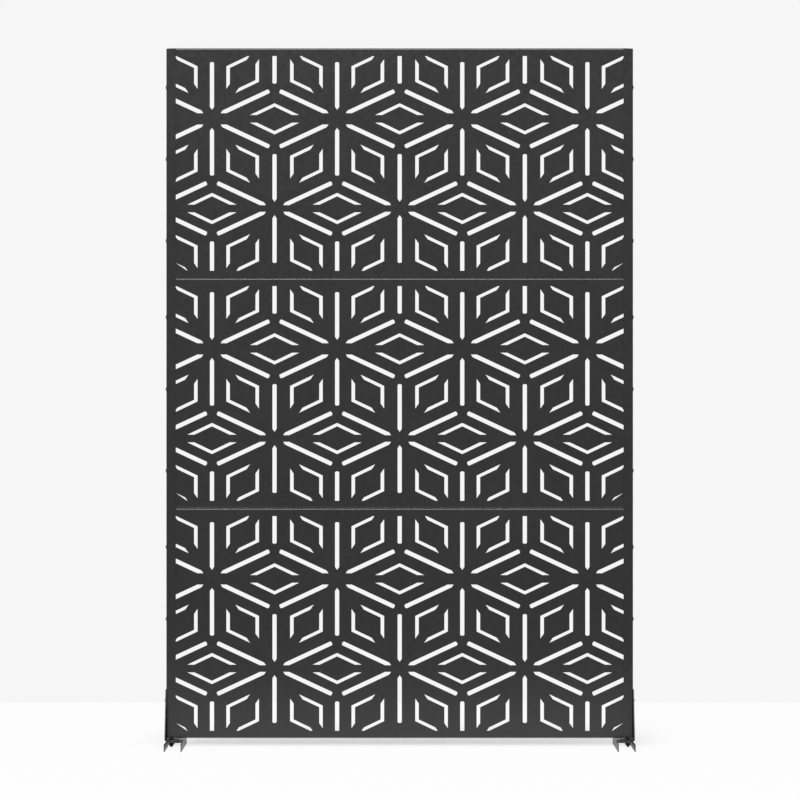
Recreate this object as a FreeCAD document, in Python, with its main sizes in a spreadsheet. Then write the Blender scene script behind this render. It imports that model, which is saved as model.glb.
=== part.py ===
# Free-standing metal room divider: three laser-cut steel panels, stacked and bolted between two channel
# posts on low forked feet. Millimetres, Z up, front towards -Y, origin on the floor under the middle.
import FreeCAD, Part
import math
import os
import re
import Sketcher

driving = {
    # whole screen
    "screen_width": 1200,       # over the posts' outer faces
    # panel: a sheet with all four edges folded back
    "panel_height": 591,
    "panel_gap": 0.5,           # between stacked panels
    "panel_depth": 25,          # face to the flanges' back edge
    "panel_sheet": 1,
    "panel_bend": 3,            # inner radius, as for the other bends
    "panel_side_play": 0.25,    # side flange to the post's web
    "corner_relief": 6,         # square notch where two folds meet
    # post: a channel open towards the panels
    "post_sheet": 1.5,
    "post_front_flange": 24.5,
    "post_rear_flange": 20,
    "post_bend": 1.5,
    "post_back_play": 2,        # panel's back edge to the rear flange
    "post_top_drop": 1,         # post's top below the top panel's edge
    "post_foot_gap": 2.6,       # bracket's leg to the lower end of the posts and panels
    # foot: an inverted channel whose top plate stops short of both ends
    "foot_length": 300,
    "foot_width": 45,
    "foot_height": 21,
    "foot_sheet": 2,
    "foot_bend": 1.5,
    "prong_length": 58,
    # bracket: a leg on the foot and a tapered upright outside the post
    "bracket_sheet": 2.4,
    "bracket_length": 120,
    "bracket_cover": 29,        # upright's top above the lowest side bolt
    "bracket_shoulder": 20,     # height of the upright's straight part above the leg
    "bracket_leg": 34,          # leg's reach in from the upright's outer face
    "bracket_bend": 1.6,
    # fasteners
    "bolt_diameter": 6,
    "hole_play": 0.6,           # hole diameter over bolt diameter
    "head_diameter": 13,
    "head_height": 2.6,
    "socket_width": 4,          # across the flats
    "socket_depth": 1.6,
    "cap_head_diameter": 10,    # foot bolts have tall round heads and closed nuts
    "cap_head_height": 6,
    "cap_socket_width": 5,
    "cap_socket_depth": 3,
    "cap_nut_wall": 4,          # closed end past the bore
    "cap_nut_dome": 9.5,
    "bolt_end_gap": 1,          # foot bolt's end to the bottom of the nut's bore
    "side_bolt_length": 16,
    "foot_bolt_length": 14,
    "nut_width": 10,
    "nut_height": 5,
    "washer_diameter": 12,
    "washer_sheet": 1.6,
    "bolt_drop_upper": 100,     # below each panel's top edge
    "bolt_drop_middle": 285,
    "bolt_rise_lower": 96,      # above each panel's bottom edge
    "foot_bolt_gap": 20,        # in front of and behind the post
    "foot_bolt_inset": 14,      # in from the post's outer face
    # cut-out pattern: six-armed stars in rows, with a broken rhombus between neighbours
    "star_pitch": 321.8,
    "row_spacing": 230.5,
    "first_row_drop": 181.7,    # panel's top edge to the first row of stars
    "spoke_width": 10.7,
    "spoke_angle": 25,          # slanted spokes, from level
    "spoke_shift": 3,           # outwards on the first row, inwards on the second
    "spoke_corner": 2.4,        # chamfer at a spoke's outer end
    "star_gap": 11.6,           # solid band's half width along the lines from star to star
    "upright_end_gap": 10.9,    # spoke's outer end to the point where three rhombi meet
    "slanted_end_gap": 15.7,
    "ring_outer": 40,           # half the short diagonal of the level rhombus
    "ring_inner": 31.5,
    "ring_shift": 1.5,
    "level_ring_gap": 9.9,      # half width of the break along the long diagonal
    "slanted_ring_gap": 12.6,
    "margin_top": 20.3,         # uncut border of the panel's face
    "margin_bottom": 18.8,
    "margin_side": 20,
    "corner_land_width": 31.5,  # uncut triangle in each lower corner
    "corner_land_height": 22,
    "smallest_cut": 7.5,        # a scrap smaller than the square of this is left uncut
}

panelNames = ["bottom", "middle", "top"]
boltPlaces = {  # above a panel's bottom edge
    "upper": "( panel_height - bolt_drop_upper )",
    "middle": "( panel_height - bolt_drop_middle )",
    "lower": "bolt_rise_lower",
}
sides = {"left": -1, "right": 1}
nearly = 1e-4

doc = FreeCAD.newDocument("RoomDivider")
sheet = doc.addObject("Spreadsheet::Sheet", "Sizes")
for line, (alias, value) in enumerate(driving.items(), start=1):
    sheet.set(f"A{line}", alias)
    sheet.set(f"B{line}", str(value))
    sheet.setAlias(f"B{line}", alias)
doc.recompute()


def size(alias):
    return float(sheet.get(alias))


def bind(text):
    # puts the sheet's name before each alias in a formula
    return re.sub("[a-z_]+", lambda word: f"Sizes.{word[0]}" if word[0] in driving else word[0], text)


# Places that several pieces share, as formulas of the driving sizes.
halfWidth = "( screen_width / 2 )"
postDepth = "( panel_depth + post_back_play + 2 * post_sheet )"
postFront = f"( -1 * {postDepth} / 2 )"
panelFront = f"( {postFront} + post_sheet )"
panelHalf = f"( {halfWidth} - post_sheet - panel_side_play )"
flangeInside = f"( {panelHalf} - panel_sheet )"
stackHeight = f"( {len(panelNames)} * panel_height + {len(panelNames) - 1} * panel_gap )"
boltHole = "( bolt_diameter + hole_play )"
boltRow = f"( {panelFront} + panel_depth / 2 )"
bracketFace = f"( {halfWidth} + bracket_sheet )"
footBoltSeat = "( foot_height + bracket_sheet )"
footBoltX = f"( {halfWidth} - foot_bolt_inset )"
footBoltReach = f"( {postDepth} / 2 + foot_bolt_gap )"
footWasherUnder = "( foot_height - foot_sheet - washer_sheet )"
capBore = f"( foot_bolt_length - {footBoltSeat} + {footWasherUnder} + bolt_end_gap )"
stackBase = f"( {footBoltSeat} + post_foot_gap )"
lowestBolt = f"( {stackBase} + {boltPlaces['lower']} )"
bracketRise = f"( {lowestBolt} + bracket_cover - foot_height )"


def panelBase(level):
    return f"( {stackBase} + {level} * ( panel_height + panel_gap ) )"


# Sketches and solid features

def newBody(label):
    body = doc.addObject("PartDesign::Body", label)
    body.Label = label
    return body


def newSketch(body, role, name):
    sketch = body.newObject("Sketcher::SketchObject", name)
    plane = next(item for item in body.Origin.OriginFeatures if item.Role == role)
    sketch.AttachmentSupport = [(plane, "")]
    sketch.MapMode = "FlatFace"
    return sketch


def pinPoint(sketch, edge, end, start, formulas):
    for kind, value, text in zip(("DistanceX", "DistanceY"), start, formulas):
        number = sketch.addConstraint(Sketcher.Constraint(kind, -1, 1, edge, end, value))
        sketch.setExpression(f"Constraints[{number}]", bind(text))


def addPolygon(sketch, corners):
    # starts as a regular polygon, then every corner goes where its two formulas say
    count = len(corners)
    turns = [2 * math.pi * place / count for place in range(count)]
    starts = [(100 * math.cos(turn), 100 * math.sin(turn)) for turn in turns]
    first = sketch.GeometryCount
    for place in range(count):
        here = FreeCAD.Vector(*starts[place], 0)
        there = FreeCAD.Vector(*starts[(place + 1) % count], 0)
        sketch.addGeometry(Part.LineSegment(here, there))
    for place in range(count):
        following = first + (place + 1) % count
        sketch.addConstraint(Sketcher.Constraint("Coincident", first + place, 2, following, 1))
        pinPoint(sketch, first + place, 1, starts[place], corners[place])


def addRectangle(sketch, low, high):
    addPolygon(sketch, [low, (high[0], low[1]), high, (low[0], high[1])])


def addCircle(sketch, centre, diameter):
    place = sketch.GeometryCount
    start = (10.0 * place, 10.0)
    middle = FreeCAD.Vector(*start, 0)
    sketch.addGeometry(Part.Circle(middle, FreeCAD.Vector(0, 0, 1), 3))
    pinPoint(sketch, place, 3, start, centre)
    number = sketch.addConstraint(Sketcher.Constraint("Diameter", place, 6))
    sketch.setExpression(f"Constraints[{number}]", bind(diameter))


def addPad(body, sketch, length, backwards=False, bothWays=False):
    pad = body.newObject("PartDesign::Pad", sketch.Name + "Pad")
    pad.Profile = sketch
    pad.setExpression("Length", bind(length))
    pad.Reversed = backwards
    if bothWays:
        pad.SideType = "Symmetric"
    doc.recompute()
    return pad


def addCut(body, sketch):
    # cuts right through, both ways from the sketch's plane
    before = body.Shape.Volume
    pocket = body.newObject("PartDesign::Pocket", sketch.Name + "Cut")
    pocket.Profile = sketch
    pocket.SideType = "Symmetric"
    pocket.Type = "ThroughAll"
    doc.recompute()
    if not body.Shape.Volume < before:
        raise RuntimeError(f"{sketch.Label} cuts nothing")
    return pocket


def addFillet(body, radius, wanted):
    base = body.Tip
    names = [f"Edge{place}" for place, edge in enumerate(base.Shape.Edges, start=1) if wanted(edge)]
    fillet = body.newObject("PartDesign::Fillet", body.Name + "Bend")
    fillet.Base = (base, names)
    fillet.setExpression("Radius", bind(radius))
    doc.recompute()
    return fillet


def runsAlong(edge, axis, places):
    # true for a straight edge parallel to an axis, through one of the places given in the other two
    ends = [vertex.Point for vertex in edge.Vertexes]
    others = [index for index in range(3) if index != axis]
    return any(all(abs(end[index] - spot) < nearly for end in ends for index, spot in zip(others, place))
               for place in places)


def movePiece(piece, **formulas):
    for axis, text in formulas.items():
        piece.setExpression(f"Placement.Base.{axis}", bind(text))


# Cut-out pattern, worked out from the sizes about the panel's middle line and bottom edge

def uprightSpoke(towards):
    half = size("spoke_width") / 2
    corner = size("spoke_corner")
    slope = size("row_spacing") / (size("star_pitch") / 2)
    tip = size("star_gap") * math.hypot(1, slope)
    shoulder = tip + half * slope
    end = size("row_spacing") * 2 / 3 - size("upright_end_gap")
    right = [(half, shoulder), (half, end - corner), (half - corner, end)]
    outline = [(0, tip)] + right + [(-x, z) for x, z in reversed(right)]
    return [(x, towards * z) for x, z in outline]


def slantedSpoke(across, towards):
    half = size("spoke_width") / 2
    corner = size("spoke_corner")
    gap = size("star_gap")
    angle = math.radians(size("spoke_angle"))
    bandAngle = math.atan2(size("row_spacing"), size("star_pitch") / 2)
    lift = half / math.cos(angle)
    tip = (gap / math.tan(bandAngle / 2), gap)
    lowerX = (gap + lift) / math.tan(angle)
    rise = math.sin(bandAngle) - math.tan(angle) * math.cos(bandAngle)
    upperX = (gap + lift * math.cos(bandAngle)) / rise
    upperStart = (upperX, upperX * math.tan(angle) + lift)
    end = math.hypot(size("star_pitch") / 2, size("row_spacing") / 3) - size("slanted_end_gap")

    def along(reach, offset):
        x = reach * math.cos(angle) - offset * math.sin(angle)
        return x, reach * math.sin(angle) + offset * math.cos(angle)

    outline = [tip, (lowerX, gap), along(end - corner, -half), along(end, corner - half),
               along(end, half - corner), along(end - corner, half), upperStart]
    return [(across * x, towards * z) for x, z in outline]


def brokenRing(shortHalf, longHalf, gap):
    # the two chevrons left of a rhombus ring when a band along its long diagonal stays solid
    unit = size("row_spacing") / 3
    depth = abs(shortHalf[0] * longHalf[1] - shortHalf[1] * longHalf[0]) / math.hypot(*longHalf)
    corners = []
    for scale in (size("ring_outer") / unit, size("ring_inner") / unit):
        share = gap / (depth * scale)
        ends = [tuple(scale * (share * k + way * (1 - share) * m) for k, m in zip(shortHalf, longHalf))
                for way in (1, -1)]
        corners.append(ends + [tuple(scale * k for k in shortHalf)])
    (outerEnd, outerStart, outerCorner), (innerEnd, innerStart, innerCorner) = corners
    chevron = [outerStart, outerCorner, outerEnd, innerEnd, innerCorner, innerStart]
    return [chevron, [(-x, -z) for x, z in chevron]]


def keepInside(outline, window):
    # trims an outline by each side of the window, which lies to the left of the side
    for (ax, az), (bx, bz) in window:
        trimmed = []
        for (px, pz), (qx, qz) in zip(outline, outline[1:] + outline[:1]):
            p = (bx - ax) * (pz - az) - (bz - az) * (px - ax)
            q = (bx - ax) * (qz - az) - (bz - az) * (qx - ax)
            if p >= 0:
                trimmed.append((px, pz))
            if p * q < 0:
                share = p / (p - q)
                trimmed.append((px + share * (qx - px), pz + share * (qz - pz)))
        outline = trimmed
    return outline


def area(outline):
    pairs = zip(outline, outline[1:] + outline[:1])
    return abs(sum(px * qz - qx * pz for (px, pz), (qx, qz) in pairs)) / 2


def patternWindow():
    right = size("screen_width") / 2 - size("post_sheet") - size("panel_side_play") - size("margin_side")
    low = size("margin_bottom")
    high = size("panel_height") - size("margin_top")
    landX = right - size("corner_land_width")
    landZ = low + size("corner_land_height")
    corners = [(-right, low), (right, low), (right, high), (-right, high)]
    lands = [((landX, low), (right, landZ)), ((-right, landZ), (-landX, low))]
    return list(zip(corners, corners[1:] + corners[:1])) + lands


def cutOuts():
    window = patternWindow()
    step = size("star_pitch") / 2
    spacing = size("row_spacing")
    columns = math.ceil(size("screen_width") / 2 / step) + 1
    lastRow = math.ceil((size("panel_height") - size("first_row_drop")) / spacing)
    found = []
    for row in range(-1, lastRow + 1):
        starZ = size("panel_height") - size("first_row_drop") - row * spacing
        odd = (row + 1) % 2
        shift = size("spoke_shift") * (1 if odd else -1)
        for column in range(-columns, columns + 1):
            starX = column * step
            if column % 2 != odd:
                ring = brokenRing((0, spacing / 3), (step, 0), size("level_ring_gap"))
                found += [[(starX + x, starZ + z) for x, z in part] for part in ring]
                continue
            for towards in (1, -1):
                spokes = [uprightSpoke(towards), slantedSpoke(1, towards), slantedSpoke(-1, towards)]
                found += [[(starX + x, starZ + z + towards * shift) for x, z in part] for part in spokes]
            for across in (1, -1):
                nudge = -across * size("ring_shift") * (1 if odd else -1)
                ring = brokenRing((-across * step / 2, -spacing / 6), (across * step / 2, -spacing / 2),
                                  size("slanted_ring_gap"))
                middleX = starX + across * step / 2 + nudge
                found += [[(middleX + x, starZ - spacing / 2 + z) for x, z in part] for part in ring]
    kept = [keepInside(outline, window) for outline in found]
    return [outline for outline in kept if len(outline) > 2 and area(outline) > size("smallest_cut") ** 2]


# Panels

def makePan(label):
    # the folded sheet before the pattern is cut
    body = newBody(label)
    outline = newSketch(body, "XZ_Plane", label + "_outline")
    addRectangle(outline, (f"-1 * {panelHalf}", "0"), (panelHalf, "panel_height"))
    addPad(body, outline, "panel_depth", backwards=True)
    bent = addFillet(body, "panel_bend + panel_sheet",
                     lambda edge: abs(edge.BoundBox.YMin) + abs(edge.BoundBox.YMax) < nearly)
    faces = bent.Shape.Faces
    back = max(range(len(faces)), key=lambda place: faces[place].CenterOfMass.y)
    shell = body.newObject("PartDesign::Thickness", label + "_shell")
    shell.Base = (bent, [f"Face{back + 1}"])
    shell.setExpression("Value", bind("panel_sheet"))
    shell.Reversed = True
    doc.recompute()
    relief = newSketch(body, "XZ_Plane", label + "_relief")
    for sign in (-1, 1):
        edge = f"{sign} * {panelHalf}"
        inner = f"{sign} * ( {panelHalf} - corner_relief )"
        addRectangle(relief, (edge, "0"), (inner, "corner_relief"))
        addRectangle(relief, (edge, "panel_height - corner_relief"), (inner, "panel_height"))
    addCut(body, relief)
    holes = newSketch(body, "YZ_Plane", label + "_holes")
    for height in boltPlaces.values():
        addCircle(holes, ("panel_depth / 2", height), boltHole)
    addCut(body, holes)
    return body


def makeCutter(label):
    # one prism for each cut-out, standing out of both sides of the face by the sheet's thickness
    sheetThickness = size("panel_sheet")
    prisms = []
    for outline in cutOuts():
        points = [FreeCAD.Vector(x, -sheetThickness, z) for x, z in outline]
        face = Part.Face(Part.makePolygon(points + points[:1]))
        prisms.append(face.extrude(FreeCAD.Vector(0, 3 * sheetThickness, 0)))
    cutter = doc.addObject("Part::Feature", label)
    cutter.Shape = Part.makeCompound(prisms)
    return cutter


def makePanel(level):
    label = f"panel_{panelNames[level]}"
    pan = makePan(label + "_pan")
    cutter = makeCutter(label + "_cutter")
    for piece in (pan, cutter):
        movePiece(piece, y=panelFront, z=panelBase(level))
    return makeCut(label, pan, cutter)


# Posts

def makePost(side, sign):
    label = f"post_{side}"
    body = newBody(label)
    outer = f"{sign} * {halfWidth}"
    web = f"{sign} * ( {halfWidth} - post_sheet )"
    frontLip = f"{sign} * ( {halfWidth} - post_front_flange )"
    rearLip = f"{sign} * ( {halfWidth} - post_rear_flange )"
    rear = f"{postDepth} / 2"
    section = newSketch(body, "XY_Plane", label + "_section")
    addPolygon(section, [
        (outer, postFront), (frontLip, postFront), (frontLip, f"{postFront} + post_sheet"),
        (web, f"{postFront} + post_sheet"), (web, f"{rear} - post_sheet"), (rearLip, f"{rear} - post_sheet"),
        (rearLip, rear), (outer, rear)])
    addPad(body, section, f"{stackHeight} - post_top_drop")
    depth = size("panel_depth") + size("post_back_play") + 2 * size("post_sheet")
    wall = size("post_sheet")
    outside = sign * size("screen_width") / 2
    inside = outside - sign * wall
    outerEdges = [(outside, depth / 2), (outside, -depth / 2)]
    innerEdges = [(inside, depth / 2 - wall), (inside, wall - depth / 2)]
    addFillet(body, "post_bend + post_sheet", lambda edge: runsAlong(edge, 2, outerEdges))
    addFillet(body, "post_bend", lambda edge: runsAlong(edge, 2, innerEdges))
    holes = newSketch(body, "YZ_Plane", label + "_holes")
    for level in range(len(panelNames)):
        for height in boltPlaces.values():
            addCircle(holes, (boltRow, f"{panelBase(level)} + {height} - {stackBase}"), boltHole)
    addCut(body, holes)
    movePiece(body, z=stackBase)
    return body


# Feet

def makeFoot(side, sign):
    label = f"foot_{side}"
    body = newBody(label)
    outer = f"{sign} * {halfWidth}"
    outerWall = f"{sign} * ( {halfWidth} - foot_sheet )"
    innerWall = f"{sign} * ( {halfWidth} - foot_width + foot_sheet )"
    inner = f"{sign} * ( {halfWidth} - foot_width )"
    under = "foot_height - foot_sheet"
    section = newSketch(body, "XZ_Plane", label + "_section")
    addPolygon(section, [(outer, "0"), (outer, "foot_height"), (inner, "foot_height"), (inner, "0"),
                         (innerWall, "0"), (innerWall, under), (outerWall, under), (outerWall, "0")])
    addPad(body, section, "foot_length", bothWays=True)
    high = size("foot_height")
    wall = size("foot_sheet")
    xOuter = sign * size("screen_width") / 2
    xInner = xOuter - sign * size("foot_width")
    outerEdges = [(xOuter, high), (xInner, high)]
    innerEdges = [(xOuter - sign * wall, high - wall), (xInner + sign * wall, high - wall)]
    addFillet(body, "foot_bend + foot_sheet", lambda edge: runsAlong(edge, 1, outerEdges))
    addFillet(body, "foot_bend", lambda edge: runsAlong(edge, 1, innerEdges))
    ends = newSketch(body, "XY_Plane", label + "_ends")
    for way in (-1, 1):
        plateEnd = f"{way} * ( foot_length / 2 - prong_length )"
        addRectangle(ends, (innerWall, plateEnd), (outerWall, f"{way} * foot_length / 2"))
    addCut(body, ends)
    holes = newSketch(body, "XY_Plane", label + "_holes")
    for way in (-1, 1):
        addCircle(holes, (f"{sign} * {footBoltX}", f"{way} * {footBoltReach}"), boltHole)
    addCut(body, holes)
    return body


def makeBracket(side, sign):
    label = f"foot_bracket_{side}"
    body = newBody(label)
    face = f"{sign} * {bracketFace}"
    back = f"{sign} * {halfWidth}"
    legEnd = f"{sign} * ( {bracketFace} - bracket_leg )"
    section = newSketch(body, "XZ_Plane", label + "_section")
    addPolygon(section, [(legEnd, "0"), (face, "0"), (face, bracketRise), (back, bracketRise),
                         (back, "bracket_sheet"), (legEnd, "bracket_sheet")])
    addPad(body, section, "bracket_length", bothWays=True)
    wall = size("bracket_sheet")
    xBack = sign * size("screen_width") / 2
    xFace = xBack + sign * wall
    addFillet(body, "bracket_bend + bracket_sheet", lambda edge: runsAlong(edge, 1, [(xFace, 0)]))
    addFillet(body, "bracket_bend", lambda edge: runsAlong(edge, 1, [(xBack, wall)]))
    taper = newSketch(body, "YZ_Plane", label + "_taper")
    for way in (-1, 1):
        addPolygon(taper, [(f"{way} * bracket_length / 2", "bracket_sheet + bracket_shoulder"),
                           (f"{way} * bracket_length / 2", bracketRise),
                           (f"{way} * {postDepth} / 2", bracketRise)])
    addCut(body, taper)
    sideHole = newSketch(body, "YZ_Plane", label + "_side_hole")
    addCircle(sideHole, (boltRow, f"{lowestBolt} - foot_height"), boltHole)
    addCut(body, sideHole)
    legHoles = newSketch(body, "XY_Plane", label + "_leg_holes")
    for way in (-1, 1):
        addCircle(legHoles, (f"{sign} * {footBoltX}", f"{way} * {footBoltReach}"), boltHole)
    addCut(body, legHoles)
    movePiece(body, z="foot_height")
    return body


# Fasteners stand along a local axis that points out of the bolt's head

def placeAlong(piece, turn, **formulas):
    piece.Placement = FreeCAD.Placement(FreeCAD.Vector(), FreeCAD.Rotation(FreeCAD.Vector(0, 1, 0), turn))
    movePiece(piece, **formulas)


def roundBar(name, diameter, length):
    bar = doc.addObject("Part::Cylinder", name)
    bar.setExpression("Radius", bind(f"( {diameter} ) / 2"))
    bar.setExpression("Height", bind(length))
    return bar


def hexBar(name, width, length):
    bar = doc.addObject("Part::Prism", name)
    bar.Polygon = 6
    bar.setExpression("Circumradius", bind(f"{width} / sqrt(3)"))
    bar.setExpression("Height", bind(length))
    return bar


def makeCut(name, base, tool):
    cut = doc.addObject("Part::Cut", name)
    cut.Base = base
    cut.Tool = tool
    return cut


def makeFuse(name, base, tool):
    fuse = doc.addObject("Part::Fuse", name)
    fuse.Base = base
    fuse.Tool = tool
    return fuse


def buttonHead(name, place, seat):
    domeRadius = "( ( ( head_diameter / 2 ) ^ 2 + head_height ^ 2 ) / ( 2 * head_height ) )"
    dome = doc.addObject("Part::Sphere", name)
    dome.setExpression("Radius", bind(domeRadius))
    dome.setExpression("Angle1", bind(f"asin(1 - head_height / {domeRadius})"))
    place(dome, f"{seat} + head_height - {domeRadius}")
    return dome


def capHead(name, place, seat):
    head = roundBar(name, "cap_head_diameter", "cap_head_height")
    place(head, seat)
    return head


def makeBolt(name, head, headTop, socketSize, length, place, seat):
    # the head on a plain shank, with a hexagon socket
    shank = roundBar(name + "_shank", "bolt_diameter", length)
    place(shank, f"{seat} - {length}")
    width, depth = socketSize
    socket = hexBar(name + "_socket", width, depth)
    place(socket, f"{headTop} - {depth}")
    return makeCut(name, makeFuse(name + "_whole", head, shank), socket)


def makeWasher(name, place, start):
    disc = roundBar(name + "_disc", "washer_diameter", "washer_sheet")
    hole = roundBar(name + "_hole", boltHole, "washer_sheet")
    place(disc, start)
    place(hole, start)
    return makeCut(name, disc, hole)


def makeNut(name, place, start):
    block = hexBar(name + "_block", "nut_width", "nut_height")
    thread = roundBar(name + "_thread", "bolt_diameter", "nut_height")
    place(block, start)
    place(thread, start)
    return makeCut(name, block, thread)


def makeCapNut(name, place, end):
    # a closed nut: a hexagon block that ends in a dome
    height = f"( {capBore} + cap_nut_wall )"
    blockStart = f"{end} - {height} + cap_nut_dome / 2"
    block = hexBar(name + "_block", "nut_width", f"{height} - cap_nut_dome / 2")
    place(block, blockStart)
    dome = doc.addObject("Part::Sphere", name + "_dome")
    dome.setExpression("Radius", bind("cap_nut_dome / 2"))
    place(dome, blockStart)
    thread = roundBar(name + "_thread", "bolt_diameter", capBore)
    place(thread, f"{end} - {capBore}")
    return makeCut(name, makeFuse(name + "_whole", block, dome), thread)


def makeGroups(label, sets):
    # one group of bolts, one of washers and one of nuts
    groups = []
    for kind, members in zip(("bolts", "washers", "nuts"), zip(*sets)):
        group = doc.addObject("Part::Compound", f"{label}_{kind}")
        group.Links = list(members)
        groups.append(group)
    return groups


def makeSideFasteners(side, sign, level):
    sets = []
    for word, rise in boltPlaces.items():
        isLowest = level == 0 and word == "lower"
        height = f"{panelBase(level)} + {rise}"

        def place(piece, along):
            placeAlong(piece, sign * 90, x=f"{sign} * ( {along} )", y=boltRow, z=height)

        name = f"side_{side}_{panelNames[level]}_{word}"
        seat = bracketFace if isLowest else halfWidth
        head = buttonHead(name + "_head", place, seat)
        bolt = makeBolt(name + "_bolt", head, f"{seat} + head_height", ("socket_width", "socket_depth"),
                        "side_bolt_length", place, seat)
        washerStart = f"{flangeInside} - washer_sheet"
        sets.append((bolt, makeWasher(name + "_washer", place, washerStart),
                     makeNut(name + "_nut", place, f"{washerStart} - nut_height")))
    return makeGroups(f"{panelNames[level]}_{side}", sets)


def makeFootFasteners(side, sign):
    sets = []
    for way, word in ((-1, "front"), (1, "rear")):

        def place(piece, along):
            placeAlong(piece, 0, x=f"{sign} * {footBoltX}", y=f"{way} * {footBoltReach}", z=along)

        name = f"floor_{side}_{word}"
        head = capHead(name + "_head", place, footBoltSeat)
        bolt = makeBolt(name + "_bolt", head, f"{footBoltSeat} + cap_head_height",
                        ("cap_socket_width", "cap_socket_depth"), "foot_bolt_length", place, footBoltSeat)
        sets.append((bolt, makeWasher(name + "_washer", place, footWasherUnder),
                     makeCapNut(name + "_nut", place, footWasherUnder)))
    return makeGroups(f"foot_{side}", sets)


pieces = [makePanel(level) for level in range(len(panelNames))]
for sideName, sideSign in sides.items():
    pieces += [makePost(sideName, sideSign), makeFoot(sideName, sideSign), makeBracket(sideName, sideSign)]
    for panelLevel in range(len(panelNames)):
        pieces += makeSideFasteners(sideName, sideSign, panelLevel)
    pieces += makeFootFasteners(sideName, sideSign)
doc.recompute()

# Nothing is written unless every feature and every piece is sound.
for item in doc.Objects:
    if "Invalid" in item.State or "Error" in item.State:
        raise RuntimeError(f"{item.Label} failed")
for piece in pieces:
    if piece.Shape.isNull() or not piece.Shape.isValid() or not piece.Shape.Solids:
        raise RuntimeError(f"{piece.Label} has no sound shape")

os.makedirs("parts", exist_ok=True)
for piece in pieces:
    piece.Shape.exportStep(f"parts/{piece.Label}.step")
    box = piece.Shape.BoundBox
    print(f"{piece.Label}: {len(piece.Shape.Solids)} solids, {piece.Shape.Volume:.0f} mm3, "
          f"x {box.XMin:.1f} to {box.XMax:.1f}, y {box.YMin:.1f} to {box.YMax:.1f}, "
          f"z {box.ZMin:.1f} to {box.ZMax:.1f}")
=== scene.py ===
import bmesh
import bpy
import math
from mathutils import Matrix, Vector


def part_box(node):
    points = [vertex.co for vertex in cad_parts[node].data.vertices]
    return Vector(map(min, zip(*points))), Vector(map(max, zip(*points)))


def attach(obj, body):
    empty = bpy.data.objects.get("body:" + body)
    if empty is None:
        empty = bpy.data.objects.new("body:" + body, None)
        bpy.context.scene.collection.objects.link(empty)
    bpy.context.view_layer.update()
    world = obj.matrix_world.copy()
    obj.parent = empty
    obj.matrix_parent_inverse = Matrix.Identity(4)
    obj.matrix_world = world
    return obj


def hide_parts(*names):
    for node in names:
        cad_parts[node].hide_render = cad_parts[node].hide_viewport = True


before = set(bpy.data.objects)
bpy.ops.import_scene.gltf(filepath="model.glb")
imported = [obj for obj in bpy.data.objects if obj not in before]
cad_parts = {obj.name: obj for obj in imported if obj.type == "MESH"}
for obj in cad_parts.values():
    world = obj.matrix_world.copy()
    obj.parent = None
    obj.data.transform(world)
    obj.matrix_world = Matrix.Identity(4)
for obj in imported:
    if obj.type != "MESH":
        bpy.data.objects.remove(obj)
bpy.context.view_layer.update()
print("frame loaded:", len(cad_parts), "nodes")

mm = 0.001
panelNames = ("bottom", "middle", "top")
sideSigns = {"left": -1, "right": 1}


def toLinear(hexColour):
    # sRGB hex to the linear values that the shaders take
    channels = [int(hexColour[place:place + 2], 16) / 255 for place in (1, 3, 5)]
    linear = [c / 12.92 if c <= 0.04045 else ((c + 0.055) / 1.055) ** 2.4 for c in channels]
    return (*linear, 1)


def perMetre(millimetres):
    # a texture's scale for a pattern that repeats about every so many millimetres
    return 1000 / millimetres


def addNode(tree, kind, sockets=None, **settings):
    # a socket takes a plain value, an output to link, a node whose first output is linked, or a list of these
    node = tree.nodes.new(kind)
    for name, value in settings.items():
        setattr(node, name, value)
    for name, given in (sockets or {}).items():
        for value in given if isinstance(given, list) else [given]:
            source = value.outputs[0] if isinstance(value, bpy.types.Node) else value
            if isinstance(source, bpy.types.NodeSocket):
                tree.links.new(source, node.inputs[name])
            else:
                node.inputs[name].default_value = source
    return node


def newTree(name, inputs, result):
    # an empty geometry tree with named inputs, which come back to be linked, and one result
    tree = bpy.data.node_groups.new(name, "GeometryNodeTree")
    for label, kind in inputs.items():
        tree.interface.new_socket(label, in_out="INPUT", socket_type=f"NodeSocket{kind}")
    tree.interface.new_socket(result, in_out="OUTPUT", socket_type="NodeSocketGeometry")
    return tree, addNode(tree, "NodeGroupInput").outputs


def evaluatedMesh(piece):
    graph = bpy.context.evaluated_depsgraph_get()
    return bpy.data.meshes.new_from_object(piece.evaluated_get(graph))


def applyTree(piece, tree, chosen, cutEdge=None):
    # the tree's named inputs are set, and its result comes back as a plain mesh
    modifier = piece.modifiers.new(tree.name, "NODES")
    modifier.node_group = tree
    for socket in tree.interface.items_tree:
        if socket.name in chosen:
            modifier[socket.identifier] = chosen[socket.name]
    if cutEdge:
        bevel = piece.modifiers.new("easedEdges", "BEVEL")
        bevel.width, bevel.angle_limit = cutEdge
        bevel.segments = 1
        bevel.limit_method = "ANGLE"
        bevel.use_clamp_overlap = False
    made = evaluatedMesh(piece)
    piece.modifiers.clear()
    return made


def flatFaced(mesh, sharpAngle):
    # smooth bends that don't shade the wide faces beside them
    mesh.shade_smooth()
    mesh.set_sharp_from_angle(angle=math.radians(sharpAngle))
    holder = bpy.data.objects.new(mesh.name, mesh)
    bpy.context.collection.objects.link(holder)
    flat = holder.modifiers.new("flatFaces", "WEIGHTED_NORMAL")
    flat.keep_sharp = True
    made = evaluatedMesh(holder)
    bpy.data.objects.remove(holder)
    return made


def addPoint(shape, x, depth, z):
    # millimetres in, metres out
    return shape.verts.new((x * mm, depth * mm, z * mm))


def closedMesh(name, shape):
    # a finished solid, with its faces turned outwards
    bmesh.ops.recalc_face_normals(shape, faces=shape.faces)
    mesh = bpy.data.meshes.new(name)
    shape.to_mesh(mesh)
    shape.free()
    return mesh


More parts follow.
